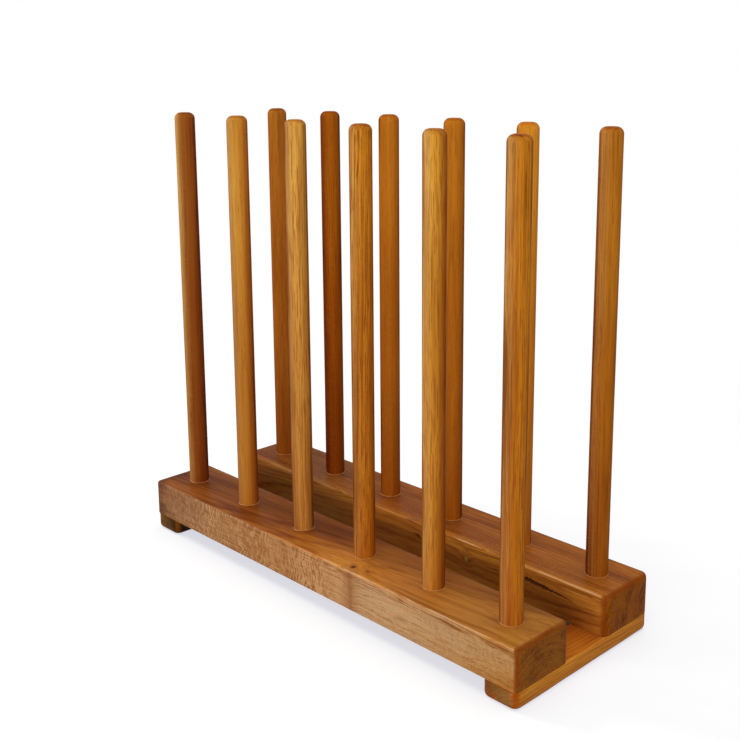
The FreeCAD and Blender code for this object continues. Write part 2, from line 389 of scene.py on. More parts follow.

    # End grain drinks more oil and dries darker, and a rounded edge that cuts the fibres aslant
    # is darker and redder still; that band also holds painted shade, where the rounding turns
    # from the light.
    rising, falling = node(SMOOTH, end_on, 0.04, 0.6), node(SMOOTH, end_on, 0.999, 0.8)
    uneven = node(RANGE, ripple, 0.35, 0.6, 0.65)
    for kind, factor, shade in (
            (MIX, node(RANGE, tone, 0.5, 1.0), "Light"),
            (MIX, silvered, "Quarter"),
            (TINT, 1.0, "Tint"),
            (MIX, reduce(times, (early, year_tone, shown, ins["Rings"])), "Dark"),
            (MIX, reduce(times, (rays, open_face, ins["Fleck"])), "Ray"),
            (MIX, node("MAXIMUM", pores, specks), "Pore"),
            (TINT, end_grain, "End"),
            (MIX, reduce(times, (rising, falling, uneven, ins["Edge"])), "Worn")):
        colour = node(kind, factor, colour, ins[shade])

    rough = node("MULTIPLY_ADD", early, 0.06, times(pores, 0.25))
    height = node("MULTIPLY_ADD", pores, -0.8, times(streak, 0.25))
    node("NodeGroupOutput", colour, rough, height)
    return tree


@cache
def knot_figure():
    """A branch inside the wood: its core and its halo, from 0 far away to 1 on its axis."""
    tree, node, ins = new_group("Knot", {
        "Place": "Vector", "Foot": "Vector", "Direction": "Vector", "Radius": 5.0,
    }, {"Core": "Float", "Halo": "Float"})
    frayed = node(NOISE, ins["Place"], 0.35, 2.0).outputs["Color"]
    spot = node("V_MULTIPLY_ADD", frayed, (3, 3, 3), ins["Place"])
    spot = node("V_SUBTRACT", spot, (1.5, 1.5, 1.5))
    spot = node("V_SUBTRACT", spot, ins["Foot"])
    away = node("V_LENGTH", node("V_CROSS_PRODUCT", spot, ins["Direction"]))
    share = node("DIVIDE", away, ins["Radius"])
    node("NodeGroupOutput", node(SMOOTH, share, 1.0, 0.35), node(SMOOTH, share, 4.0, 0.5))
    return tree


def trunk_axes(grain, outward):
    """Rows that turn the rack's axes to the trunk's, with X along the grain."""
    along = Vector(grain).normalized()
    out = Vector(outward)
    out = (out - along * out.dot(along)).normalized()
    return Matrix((along, out, along.cross(out)))


def mixed(first, second, share):
    """A colour part of the way from one to another."""
    return [a + (b - a) * share for a, b in zip(first, second)]


def scaled(colour, factor):
    """A colour made darker or paler."""
    return [min(1.0, c * factor) for c in colour]


def oak_material(name, wood):
    """Oiled oak, sawn and hand sanded.

    The oil lets the ring-porous grain show as warm brown bands with short dark pores,
    and leaves a soft sheen rather than a film."""
    finish = bpy.context.scene.boot_rack_finish
    material = bpy.data.materials.new(f"Oiled oak, {name.replace('_', ' ')}")
    node = emptied(material)
    times = partial(node, "MULTIPLY")
    axes = trunk_axes(wood["grain"], wood["outward"])
    turn = axes.to_euler()
    shift = Vector((wood["seed"] * 731.0, 0, 0)) - axes @ Vector(wood["pith"])
    middle = mixed(finish.middle, linear(wood["tone"]), 0.85)

    def toned(factors, target=(0, 0, 0), share=0):
        own = [m * f for m, f in zip(middle, factors)]
        return (*mixed(own, target, share), 1)

    where = node("TexCoord").outputs
    local = node("Mapping", {"Vector": where["Object"], "Scale": TO_MM})
    # A wood's entries in capitals are the oak figure's inputs.
    values = {
        **{key: value for key, value in wood.items() if key[0].isupper()},
        "Place": node("Mapping", {"Vector": where["Object"], "Location": shift,
                                  "Rotation": turn, "Scale": TO_MM}),
        "Facing": node("Mapping", {"Vector": where["Normal"], "Rotation": turn},
                       vector_type="VECTOR"),
        "Light": toned((1.3, 1.5, 1.7), finish.light, 0.2),
        "Middle": (*middle, 1),
        "Dark": toned((0.56, 0.43, 0.36), finish.dark, 0.25),
        "Pore": toned((0.5, 0.24, 0.2), finish.pore, 0.15),
        "Ray": (*mixed(scaled(middle, 1.5), finish.fleck, 0.8), 1),
        "Quarter": (*linear(wood.get("quarter", wood["tone"])), 1),
        "Worn": toned((0.48, 0.27, 0.1)),
    }

    # Tints drift along the board and across it, with ragged bounds; besides the heartwood's
    # colour, some are painted light and shade.
    lie = [abs(share) for share in axes[0]]
    reach = [wood.get("ragged", 16.0) * (1 + 4 * share) for share in lie]
    ragged = waves(node, local, [15 + 95 * share for share in lie], 3.0).outputs["Color"]
    bent = node("V_MULTIPLY_ADD", ragged, tuple(reach), local)
    bent = node("V_SUBTRACT", bent, tuple(length / 2 for length in reach))
    tints = []
    for line, low, high, shades in wood["drifts"]:
        span = node(RANGE, node("V_DOT_PRODUCT", bent, line), low, high)
        tints.append(set_stops(node(RAMP, span), "EASE", shades))
    values["Tint"] = reduce(partial(node, TINT, 1.0), tints)

    if "along" in wood:
        # How strongly the figure shows changes along the board.
        span = node(RANGE, node(SPLIT, local).outputs[0], -310.0, 310.0)
        for key, shares in wood["along"].items():
            values[key] = set_stops(node(RAMP, span), "LINEAR", shares)

    branches = []
    for knot in wood.get("knots", ()):
        axis = (Vector(knot["top"]) - Vector(knot["foot"])).normalized()
        branches.append(node("Group", {
            "Place": local, "Foot": knot["foot"], "Direction": axis, "Radius": knot["radius"],
        }, node_tree=knot_figure()).outputs)
        pull = times(branches[-1]["Halo"], knot["pull"])
        values["Swirl"] = node("ADD", pull, values["Swirl"]) if "Swirl" in values else pull
    figure = node("Group", values, node_tree=oak_figure()).outputs
    colour = figure["Color"]
    for knot, branch in zip(wood.get("knots", ()), branches):
        for part, (share, shade) in (("Halo", knot["ring"]), ("Core", knot["heart"])):
            colour = node(MIX, times(branch[part], share), colour, (*linear(shade), 1))

    if "rubbed" in wood:
        # Painted highlight: a pale line in broken stretches along the long edges, with a broken
        # dark line a little below it.
        share, level, onset = wood["rubbed"]
        x, _, z = node(SPLIT, local).outputs
        _, back, up = node(SPLIT, where["Normal"]).outputs
        slant = node("ABSOLUTE", times(back, up))
        stretches = waves(node, local, (26, 4, 4), 3.0)
        used = node(RANGE, x, onset - 60.0, onset + 60.0, 0.15)
        edge = reduce(times, (node(SMOOTH, slant, 0.41, 0.49, 0.0, share),
                              node(SMOOTH, stretches, 0.34, 0.56), used))
        # The painted highlight's pale colour.
        colour = node(MIX, edge, colour, (*linear("#DCC09C"), 1))
        # A broken dark line in fine streaks a little below the edge.
        under = node("ABSOLUTE", node("SUBTRACT", z, level))
        fine_lines = waves(node, local, (45, 9, 1.1), 1.0)
        dark_line = reduce(times, (node(SMOOTH, under, 4.5, 1.5, 0.0, 0.9),
                              node(SMOOTH, fine_lines, 0.45, 0.54),
                              node(SMOOTH, stretches, 0.7, 0.45), used))
        colour = node(MIX, dark_line, colour, values["Dark"])

    node("OutputMaterial", node("BsdfPrincipled", {
        "Base Color": colour, "IOR": 1.5, "Specular IOR Level": wood.get("sheen", 0.03),
        "Roughness": node("ADD", figure["Roughness"], finish.roughness),
        "Normal": node("Bump", {"Height": figure["Height"], "Distance": 0.15 * MM,
                                "Strength": 0.6})}))
    return material


# The small work's materials: two colours and a factor for each, the noise's lengths in
# metres and its detail, the bumps' depth in millimetres, the dullness and other settings.
SMALL_WORK = {
    # The torn inside of a drying check, coloured dark brown to nearly black as painted shade of
    # its depth.
    "Torn oak in a drying check": ("check", "dark", 1.0, 0.8, (0.02, 0.001, 0.0015), 2.0, 0.4,
                                   0.9, {"IOR": 1.5, "Specular IOR Level": 0.05}),
    # A bead of hardened oil round a dowel's foot: clear amber, glossier than the wood.
    "Hardened oil bead": ("oil", "oil", 0.7, 1.15, (1 / 260,) * 3, 2.0, 0,
                          0.35, {"IOR": 1.48, "Specular IOR Level": 0.2}),
    # Steel wood screws plated with yellow zinc: a pale brassy metal, a little smudged.
    "Yellow zinc plated steel": ("steel", "steel", 0.7, 1.0, (1 / 400,) * 3, 3.0, 0.03,
                                 (0.25, 0.5), {"Metallic": 1.0}),
}


@cache
def small_material(name):
    """A material of the small work, with its noise in colour, height and dullness."""
    finish = bpy.context.scene.boot_rack_finish
    first, second, low, high, lengths, detail, depth, dull, settings = SMALL_WORK[name]
    material = bpy.data.materials.new(name)
    node = emptied(material)
    spots = waves(node, node("TexCoord").outputs["Object"], lengths, detail)
    if depth:
        bump = node("Bump", {"Height": spots, "Distance": depth * MM})
        settings = {**settings, "Normal": bump}
    node("OutputMaterial", node("BsdfPrincipled", {
        "Base Color": node(MIX, spots, (*scaled(getattr(finish, first), low), 1),
                           (*scaled(getattr(finish, second), high), 1)),
        "Roughness": node(RANGE, spots, 0, 1, *dull) if isinstance(dull, tuple) else dull,
        **settings}))
    return material


# Where each bar lay in its trunk, in millimetres. Its tints and painted light and shade drift
# along a line between two levels, and its painted edge highlight gives how strong it is, the
# height of a dark line below it and the X from which it sets in. The front rail was cut over the
# pith, so its sides are quartered; the back rail's rings run aslant.
BAR_WOOD = {
    "front_rail": {
        "grain": (1, 0.085, 0.03), "outward": (0, 0, 1), "pith": (0, -101, -18), "seed": 1,
        # Its pale, dull quartered colour is partly the oak's silver grain and partly a painted
        # sheen; its long edges carry a painted highlight.
        "tone": "#B9742E", "quarter": "#C49C74", "rubbed": (0.42, 60.0, 0),
        "Ring width": 3.4, "End": (0.68, 0.53, 0.24, 1),
        "along": {
            "Fleck": {0: 0.05, 0.12: 0.42, 0.2: 0.68, 0.32: 0.6, 0.42: 0.52, 0.52: 0.8,
                      0.6: 0.45, 1: 0.45},
            "Stripes": {0: 0, 0.32: 0, 0.36: 1, 0.42: 0.6, 0.46: 0.7, 0.49: 1, 0.54: 1,
                        0.58: 0.3, 1: 0.9},
            "Silver": {0: 1, 0.2: 0.8, 0.35: 0.55, 0.5: 0.36, 0.7: 0.95, 1: 0.5},
            "Rings": {0: 1, 0.45: 0.9, 0.65: 0.6, 1: 0.5},
            "Contrast": {0: 1.7, 0.35: 1.45, 0.6: 1.1, 1: 0.8},
        },
        # Painted shade darkens the left end and, more lightly, the left half; across the top the
        # tone turns darker and greyer towards the back.
        "drifts": (
            ((1, 0, 0), -310, 310, {0: "#988482", 0.05: "#E8DCD6", 0.2: "#E4D6CE",
                                    0.4: "#DCCEC6", 0.5: "#E0D2CA", 0.6: "#FFFFFF",
                                    1: "#EEF6F4"}),
            ((-0.14, 1, 0), -126, -20, {0: "#FFFFFF", 0.3: "#FFFCF4", 0.48: "#D4C6C0",
                                        0.75: "#B4A49E", 1: "#C4B4AC"}),
        ),
        "knots": (
            {"foot": (74.5, -115, 20), "top": (73, -114.5, 66), "radius": 5.0,
             "pull": 2.0, "ring": (0.4, "#94603E"), "heart": (0.3, "#6A3C20")},
            {"foot": (69.5, -104, 50), "top": (68, -103.5, 66), "radius": 4.8,
             "pull": 2.5, "ring": (0.3, "#A05A1C"), "heart": (0.85, "#3A1A0A")},
        ),
    },
    "back_rail": {
        "grain": (1, -0.01, 0.02), "outward": (0, -1, 1), "pith": (0, 150, 5), "seed": 4,
        # Its long edges carry a painted highlight.
        "tone": "#BE742C", "rubbed": (0.5, 60.5, 60), "Ring width": 3.1, "Fleck": 0.08,
        "Silver": 0.05, "Contrast": 1.15, "End": (0.82, 0.7, 0.08, 1),
        # Painted light: the top is tinted darker than the inner face, so that the shaded inner
        # face reads paler.
        "drifts": (
            ((0, 1, 0), 28, 46, {0: "#FFFFFF", 1: "#DACBBA"}),
            ((1, 0, 0), -310, 310, {0: "#C0B4B4", 0.2: "#BCC2D6", 0.5: "#ECE2D8",
                                    0.8: "#FFFFEC", 1: "#FFFFF4"}),
        ),
        "knots": (
            {"foot": (114, 31, 44), "top": (118, 60, 50), "radius": 4.0,
             "pull": 3.0, "ring": (0.15, "#6E4014"), "heart": (0.85, "#B0883C")},
        ),
    },
    "left_batten": {
        "grain": (0.02, 1, 0.01), "outward": (0.3, 0, 1), "pith": (-300, 0, -50), "seed": 7,
        "tone": "#A48042", "Ring width": 2.7, "Fleck": 0.1, "Silver": 0.1,
        "End": (0.74, 0.62, 0.6, 1),
        # Painted shade: darker towards the inner side, nearly black where the rail hangs over
        # it.
        "drifts": (
            ((1, 0, 0), -310, -265, {0: "#FFFFFF", 0.5: "#B0A498", 1: "#1C1410"}),
        ),
    },
    "right_batten": {
        "grain": (0.01, 1, -0.015), "outward": (-0.6, 0, 1), "pith": (322, 0, -34), "seed": 8,
        "tone": "#DC8A2C", "Ring width": 2.6, "Fleck": 0.05, "Silver": 0.0,
        "End": (0.7, 0.7, 1.6, 1),
        "drifts": (
            ((0, 1, 0), -116, -98, {0: "#CCF4FF", 1: "#FFFFFF"}),
            ((1, 0, 0), 265, 311, {0: "#D0A890", 0.75: "#E8D0C0", 1: "#FFFFFF"}),
        ),
    },
}
# Each dowel is its own stick: its tone, how strongly its grain shows, the way to its pith in
# degrees, the pith's distance and the ring width, and its tints on the left, in the middle and
# on the right, which hold painted light and shade across the dowel as seen from the camera as
# well as its own colour changes.
DOWEL_WOOD = {
    "front_dowel_1": ("#D8A85E", 0.7, 200, 40, 2.8, "#FFFFFF", "#B8885A", "#A87054"),
    "front_dowel_2": ("#D99E53", 0.6, 320, 55, 3.2, "#E9ECFF", "#FFF8BC", "#D7A75E"),
    "front_dowel_3": ("#E4A84C", 1.3, 255, 44, 3.6, "#CEC8FD", "#FFFFFF", "#DCCDB3"),
    "front_dowel_4": ("#CB8E46", 1.5, 30, 48, 2.8, "#F4F8FF", "#F8E087", "#F3D165"),
    "front_dowel_5": ("#D5A359", 1.0, 160, 60, 3.8, "#FFFFFF", "#FFE998", "#CE984A"),
    "front_dowel_6": ("#E0934D", 1.4, 285, 46, 3.0, "#D8F0FF", "#E6DA78", "#FFFC8C"),
    "back_dowel_1": ("#B86C1E", 0.8, 90, 44, 3.0, "#F0E8E0", "#FFFFFF", "#FFFFFF"),
    "back_dowel_2": ("#AF590C", 0.6, 15, 50, 3.2, "#A17856", "#FFFFCB", "#DCDCC4"),
    "back_dowel_3": ("#D3811E", 0.4, 230, 70, 3.8, "#E8DED4", "#FFFFFF", "#ECE4E4"),
    "back_dowel_4": ("#D48220", 0.6, 300, 50, 2.9, "#E8E0D8", "#FFFFFF", "#E0DCD8"),
    "back_dowel_5": ("#F4A02C", 0.4, 120, 52, 3.4, "#E4E2F9", "#FFFFFF", "#FFFFFF"),
    "back_dowel_6": ("#D48440", 0.9, 340, 45, 3.0, "#ECFFFF", "#EFF29D", "#FFFE95"),
}
# What the dowels share, in millimetres where it is a length.
DOWEL_RADIUS = 12.5
DOWEL_OAK = {
    "ragged": 7.0, "sheen": 0.01, "Fleck": 0.04, "Silver": 0.04, "Wander": 7.0,
    "Streak width": 2.4, "Rings": 0.4, "Edge": 0.3, "End": (0.62, 0.46, 0.28, 1),
}
# Painted shade at a dowel's two sides, as seen from the camera.
DOWEL_RIM_SHADE = {0: "#C0A080", 0.09: "#FFFFFF", 0.91: "#FFFFFF", 1: "#C0A080"}
# Painted shade towards a dowel's foot, deeper in the back row.
DOWEL_FOOT_SHADE = {"front": "#DECAC6", "back": "#D0B8B4"}

# Drying checks in a face: points along the crack as (x, z, width), in millimetres.
CHECKS = {
    "back_rail": (
        ((142, 44.6, 0.4), (155, 45.6, 1.4), (168, 47.0, 1.6), (184, 48.8, 3.2),
         (198, 50.4, 6.4), (210, 50.4, 6.8), (222, 49.9, 5.6), (236, 49.0, 4.0),
         (250, 48.0, 2.6), (268, 46.6, 0.3)),
        ((28, 50.6, 0.3), (33, 49.6, 2.8), (37, 48.2, 3.6), (41, 46.4, 2.2),
         (46, 45.2, 0.3)),
    ),
}
CHECK_DEPTH = 5.0
CHECK_STEPS = 6


# ---------------------------------------------------------------- bars

CORNERS = ((1, 1), (-1, 1), (-1, -1), (1, -1))
HOLDING = 1.6 * MM
ROUNDING_STEPS = 6
RING_SPACING = 4 * MM
SANDING_WAVE = 45 * MM
LEAST_CORNER = 0.6 * MM
CUT_PAST = 5 * MM
PILOT_RADIUS = 2.35 * MM
SINK_RADIUS = 6.9 * MM
SINK_DEPTH = 3.55 * MM
BEAD_OVERLAP = 0.1 * MM
BEAD_BEDDING = 0.2 * MM


def loft(solid, rings):
    """Skin rings of points into a closed tube, and return its faces."""
    rings = [[solid.verts.new(point) for point in ring] for ring in rings]
    faces = []
    for below, above in zip(rings, rings[1:]):
        for i in range(len(below)):
            j = (i + 1) % len(below)
            faces.append(solid.faces.new((below[i], below[j], above[j], above[i])))
    return faces + [solid.faces.new(rings[0][::-1]), solid.faces.new(rings[-1])]


def bar_mesh(name, top, bottom, upright, sanding):
    """A sanded bar in its CAD node's box, skinned over rings of points from below.

    Its roundings are each two radii, for the faces along X and for those along Y."""
    low, high, middle, _ = measured(name)
    half = (high - low) / 2
    quarter = [math.pi / 2 * i / ROUNDING_STEPS for i in range(ROUNDING_STEPS + 1)]

    # Places round the bar: on a corner's arc, or a share of the way to the next corner.
    places = []
    for number, corner in enumerate(CORNERS):
        after = CORNERS[(number + 1) % 4]
        start = number * math.pi / 2
        places += [(corner, corner, start + a, 0) for a in quarter]
        length = 2 * (half.x if corner[1] == after[1] else half.y)
        count = max(2, round(length / RING_SPACING))
        places += [(corner, after, start + math.pi / 2, i / count) for i in range(1, count)]

    def on_corner(corner, angle, insets):
        point = []
        for side, reach, inset, turn in zip(corner, half, insets,
                                            (math.cos(angle), math.sin(angle))):
            radius = max(upright - inset, LEAST_CORNER)
            point.append(side * (reach - inset - radius) + radius * turn)
        return Vector((*point, 0))

    # Each ring: the rounding's radii, its shares inwards and in height, its level and how
    # far inside the rounding it lies.
    rings = [(bottom, 1, 0, low.z, HOLDING)]
    rings += [(bottom, 1 - math.sin(a), 1 - math.cos(a), low.z, 0) for a in quarter]
    sides = max(2, round((high.z - low.z) / (2 * RING_SPACING)))
    rise = high.z - low.z - max(top) - max(bottom)
    rings += [((0, 0), 0, 0, low.z + max(bottom) + rise * i / sides, 0) for i in range(1, sides)]
    rings += [(top, 1 - math.cos(a), math.sin(a) - 1, high.z, 0) for a in quarter]
    rings += [(top, 1, 0, high.z, HOLDING)]

    loops = []
    for radii, inward, upward, level, extra in rings:
        loop = []
        for first, second, angle, share in places:
            spot = on_corner(first, angle, (0, 0)).lerp(on_corner(second, angle, (0, 0)), share)
            wear = 1 + sanding * noise.noise((middle + spot) / SANDING_WAVE)
            insets = [radius * wear * inward + extra for radius in radii]
            point = on_corner(first, angle, insets).lerp(on_corner(second, angle, insets), share)
            turn = math.cos(angle) ** 2
            drop = wear * (radii[0] * turn + radii[1] * (1 - turn))
            loop.append((middle.x + point.x, middle.y + point.y, level + drop * upward))
        loops.append(loop)
    solid = bmesh.new()
    loft(solid, loops)
    mesh = bpy.data.meshes.new(f"oak_{name}")
    solid.to_mesh(mesh)
    solid.free()
    return mesh


def bore(cutter, place, radii, levels, sides=64):
    """Add a round cutter with its own radius at each level."""
    angles = [2 * math.pi * i / sides for i in range(sides)]
    loft(cutter, [[(place.x + radius * math.cos(a), place.y + radius * math.sin(a), level)
                   for a in angles] for radius, level in zip(radii, levels)])


def cleave(cutter, face_y, points):
    """Add a ragged wedge that opens a drying check in a face that looks to the front."""
    stations = []
    for first, second in zip(points, points[1:]):
        stations += [mixed(first, second, i / CHECK_STEPS) for i in range(CHECK_STEPS)]
    stations.append(points[-1])
    widest = max(p[2] for p in points)
    y = face_y / MM
    rings = []
    for x, z, width in stations:
        centre = z + 0.35 * noise.noise(Vector((x / 5, 0, 9)))
        depth = CHECK_DEPTH * math.sqrt(width / widest)
        up = centre + width / 2 + 0.5 * width * noise.noise(Vector((x / 2.3, z / 3, 5)))
        down = centre - width / 2 + 0.4 * width * noise.noise(Vector((x / 1.9, 2, z)))
        rings.append([Vector(p) * MM for p in (
            (x, y - 1, up), (x, y - 1, down), (x, y + depth, centre + 0.3 * width))])
    for face in loft(cutter, rings):
        face.material_index = 1


def finish_bar(name, mesh, cutter, slot, *materials):
    """Dress a bar, take its holes out of it and hand it over."""
    for material in (oak_material(name, BAR_WOOD[name]), *materials):
        mesh.materials.append(material)
    item = new_object(mesh.name, mesh)
    bmesh.ops.recalc_face_normals(cutter, faces=cutter.faces)
    holes = bpy.data.meshes.new("cutter")
    for material in mesh.materials:
        holes.materials.append(material)
    cutter.to_mesh(holes)
    cutter.free()
    tool = new_object("cutter", holes)
    boolean = item.modifiers.new("cut", "BOOLEAN")
    boolean.operation = "DIFFERENCE"
    boolean.solver = "EXACT"
    boolean.object = tool
    keep_result(item)
    bpy.data.objects.remove(tool)
    bpy.data.meshes.remove(holes)
    hand_over(item, slot, name)


def screw_places(word="screws"):
    """Where the screws stand whose name has a word: one at each side of a node's box."""
    for node in SCREWS:
        if word in node.split("_"):
            low, high, middle, radius = measured(node)
            yield node, [Vector((middle.x, y, low.z)) for y in (low.y + radius, high.y - radius)]


# ---------------------------------------------------------------- geometry trees

def turned(node, rows, level, girth, sides):
    """A body turned about Z, with its level and its radius read row by row."""
    kept = node("CaptureAttribute", {"Geometry": node("MeshLine", {"Count": rows})})
    kept.capture_items.new("FLOAT", "Girth")
    wire([kept.inputs["Girth"]], [girth])
    rod = node("SetPosition", {"Geometry": kept, "Position": node(JOIN, 0, 0, level)})
    return node("CurveToMesh", {"Curve": node("MeshToCurve", rod), "Fill Caps": True,
                                "Profile Curve": node(CIRCLE, sides, 1.0),
                                "Scale": kept.outputs["Girth"]})


def finish_tree(tree, geometry, material):
    """End a geometry tree with real geometry in one material."""
    plain = add(tree, "RealizeInstances", geometry)
    dressed = add(tree, "SetMaterial", {"Geometry": plain, "Material": material})
    add(tree, "NodeGroupOutput", dressed)
    return tree


@cache
def dowel_tree():
    """An upright turned stick on Z: chamfered foot, straight body, rounded top."""
    tree, node, ins = new_group("Turned dowel", {
        "Length": 0.5, "Radius": 0.0125, "Foot chamfer": 0.0015, "Top rounding": 0.0075,
        "Unevenness": 0.0001, "Place": "Vector", "Seed": 0, "Rows": 60, "Sides": 48,
        "Rounding rows": 8})
    chamfer, rounding = ins["Foot chamfer"], ins["Top rounding"]

    # Row 0 is the foot, row 1 the top of its chamfer, and the last rows round the top.
    index = node("InputIndex")
    last = node("SUBTRACT", ins["Rows"], 1.0)
    shoulder = node("SUBTRACT", last, ins["Rounding rows"])
    shoulder_level = node("SUBTRACT", ins["Length"], rounding)
    foot = node(RANGE, index, 0, 1, 0, chamfer)
    body = node(RANGE, index, 1.0, shoulder, chamfer, shoulder_level)
    turn = node(RANGE, index, shoulder, last, 0, math.pi / 2)
    level = node("ADD", foot, node("SUBTRACT", body, chamfer))
    level = node("MULTIPLY_ADD", node("SINE", turn), rounding, level)
    girth = node("SUBTRACT", ins["Radius"], node("SUBTRACT", chamfer, foot))
    drawn_in = node("SUBTRACT", node("COSINE", turn), 1.0)
    girth = node("MULTIPLY_ADD", drawn_in, rounding, girth)
    skin = turned(node, ins["Rows"], level, girth, ins["Sides"])

    # The lathe and the sandpaper leave it a little uneven, but never change its height.
    where = node("InputPosition")
    stretched = node("V_MULTIPLY", where, (90, 90, 16))
    uneven = node(NOISE, stretched, ins["Seed"], 1.0, 1.0, noise_dimensions="4D")
    amount = node("MULTIPLY", node("SUBTRACT", uneven, 1.0), ins["Unevenness"])
    outward = node("V_NORMALIZE", node("V_MULTIPLY", where, (1, 1, 0)))
    moved = node("SetPosition", {"Geometry": skin, "Offset": node("V_SCALE", outward, amount)})
    stood = node("Transform", {"Geometry": moved, "Translation": ins["Place"]})
    return finish_tree(tree, stood, ins["Material"])


@cache
def bead_tree():
    """A bead of hardened oil round each mouth. The mouths are the mesh's own points."""
    tree, node, ins = new_group("Oil beads", {
        "Radius": 0.0125, "Width": 0.0013, "Height": 0.0011, "Bedding": 0.0002,
        "Seed": 3, "Sides": 72})
    ring = node(CIRCLE, ins["Sides"], ins["Radius"])
    upright = node("SetCurveNormal", {"Curve": ring}, mode="Z_UP")

    # The swept profile has its own Y downwards.
    sunk, near, low, top = (node("MULTIPLY", ins[name], share) for name, share in (
        ("Bedding", -1.0), ("Width", 0.32), ("Height", -0.32), ("Height", -1.0)))
    corners = ((sunk, ins["Bedding"]), (ins["Width"], ins["Bedding"]), (near, low), (sunk, top))
    points = {f"Point {number}": node(JOIN, *corner)
              for number, corner in enumerate(corners, start=1)}
    profile = node("CurvePrimitiveQuadrilateral", points, mode="POINTS")
    bead = node("CurveToMesh", {"Curve": upright, "Profile Curve": profile})
    mouths = node("MeshToPoints", {"Mesh": ins["Geometry"]})
    spin = node("FunctionNodeRandomValue", {"Max": (0, 0, 6.28), "Seed": ins["Seed"]},
                data_type="FLOAT_VECTOR")
    laid = node("InstanceOnPoints", {"Points": mouths, "Instance": bead, "Rotation": spin})
    plain = node("RealizeInstances", laid)

    # The bead swells and thins as it runs round.
    swell = node(NOISE, node("InputPosition"), 220.0, 1.0).outputs["Color"]
    swell = node("V_SUBTRACT", swell, (0.5, 0.5, 0.5))
    swell = node("V_MULTIPLY", swell, (0.0004, 0.0004, 0.0004))
    moved = node("SetPosition", {"Geometry": plain, "Offset": swell})
    return finish_tree(tree, moved, ins["Material"])


@cache
def screw_tree():
    """Countersunk wood screws with a cross drive, driven upwards from the mesh's points."""
    tree, node, ins = new_group("Wood screws", {
        "Length": 0.05, "Head radius": 0.0044, "Head rim": 0.0004, "Shank radius": 0.00165,
        "Thread radius": 0.00225, "Thread start": 0.021, "Thread pitch": 0.0022,
        "Point": 0.006, "Drive reach": 0.0022, "Drive width": 0.0011, "Drive depth": 0.002})
    head, rim, shank = ins["Head radius"], ins["Head rim"], ins["Shank radius"]
    start, width = ins["Thread start"], ins["Drive width"]

    # The turned outline, row by row: rim, rim's top, neck, shank and point.
    index = node("InputIndex")
    neck = node("ADD", rim, node("SUBTRACT", head, shank))
    tip_start = node("SUBTRACT", ins["Length"], ins["Point"])
    outline = []
    for values in ((0.0, rim, neck, start, tip_start, ins["Length"]),
                   (head, head, shank, shank, shank, 0.00005)):
        switch = node("IndexSwitch", {"Index": index}, data_type="FLOAT")
        while len(switch.index_switch_items) < len(values):
            switch.index_switch_items.new()
        wire(list(switch.inputs)[1:], values)
        outline.append(switch)
    body = turned(node, len(values), *outline, 32)

    # The cross drive is cut into the head, two slots at right angles.
    deep, long = (node("MULTIPLY", ins[name], 2.0) for name in ("Drive depth", "Drive reach"))
    slots = [node("MeshCube", {"Size": node(JOIN, *size)})
             for size in ((long, width, deep), (width, long, deep))]
    headed = node("MeshBoolean", {"Mesh 1": body, "Mesh 2": slots},
                  operation="DIFFERENCE", solver="EXACT")

    # The thread: a small ridge on a helix from the rail's seam to the point.
    threaded = node("SUBTRACT", tip_start, start)
    helix = node("CurveSpiral", {
        "Resolution": 20, "Rotations": node("DIVIDE", threaded, ins["Thread pitch"]),
        "Start Radius": shank, "End Radius": shank, "Height": threaded})
    ridge = node(CIRCLE, 4, node("SUBTRACT", ins["Thread radius"], shank))
    thread = node("CurveToMesh", {"Curve": helix, "Profile Curve": ridge, "Fill Caps": True})
    lifted = node("Transform", {"Geometry": thread, "Translation": node(JOIN, 0, 0, start)})
    screw = node("JoinGeometry", [headed, lifted])
    places = node("MeshToPoints", {"Mesh": ins["Geometry"]})
    driven = node("InstanceOnPoints", {"Points": places, "Instance": screw})
    return finish_tree(tree, driven, ins["Material"])


# ---------------------------------------------------------------- operators

class BOOTRACK_OT_rails(bpy.types.Operator):
    """Make the two rails, with their sockets, pilot holes and drying checks."""

    bl_idname = "bootrack.rails"
    bl_label = "Rails"

    def execute(self, context):
        sizes = context.scene.boot_rack_sizes
        for rail, corner in zip(RAILS, (sizes.rail_corner, sizes.back_corner)):
            low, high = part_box(rail)
            row = rail.split("_")[0]
            cutter = bmesh.new()
            for dowel in (d for d in DOWELS if d.startswith(row)):
                foot, _, middle, radius = measured(dowel)
                bore(cutter, middle, (radius + sizes.socket_clearance,) * 2,
                     (foot.z, high.z + CUT_PAST))
            for node, places in screw_places(row):
                for place in places:
                    bore(cutter, place, (PILOT_RADIUS,) * 2,
                         (low.z - CUT_PAST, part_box(node)[1].z), 24)
            for points in CHECKS.get(rail, ()):
                cleave(cutter, low.y, points)
            mesh = bar_mesh(rail, (sizes.rail_end, sizes.rail_edge), (sizes.seam_easing,) * 2,
                            corner, sizes.sanding)
            finish_bar(rail, mesh, cutter, "rail_oak",
                       small_material("Torn oak in a drying check"))
        return {"FINISHED"}


class BOOTRACK_OT_battens(bpy.types.Operator):
    """Make the two cross battens, countersunk for their screws."""

    bl_idname = "bootrack.battens"
    bl_label = "Battens"

    def execute(self, context):
        sizes = context.scene.boot_rack_sizes
        for batten in BATTENS:
            low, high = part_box(batten)
            cutter = bmesh.new()
            for _, places in screw_places(batten.split("_")[0]):
                for place in places:
                    bore(cutter, place, (SINK_RADIUS, PILOT_RADIUS, PILOT_RADIUS),
                         (low.z - MM, low.z + SINK_DEPTH, high.z + CUT_PAST), 32)
            mesh = bar_mesh(batten, (sizes.seam_easing,) * 2, (sizes.batten_edge,) * 2,
                            sizes.batten_corner, sizes.sanding)
            finish_bar(batten, mesh, cutter, "batten_oak")
        return {"FINISHED"}


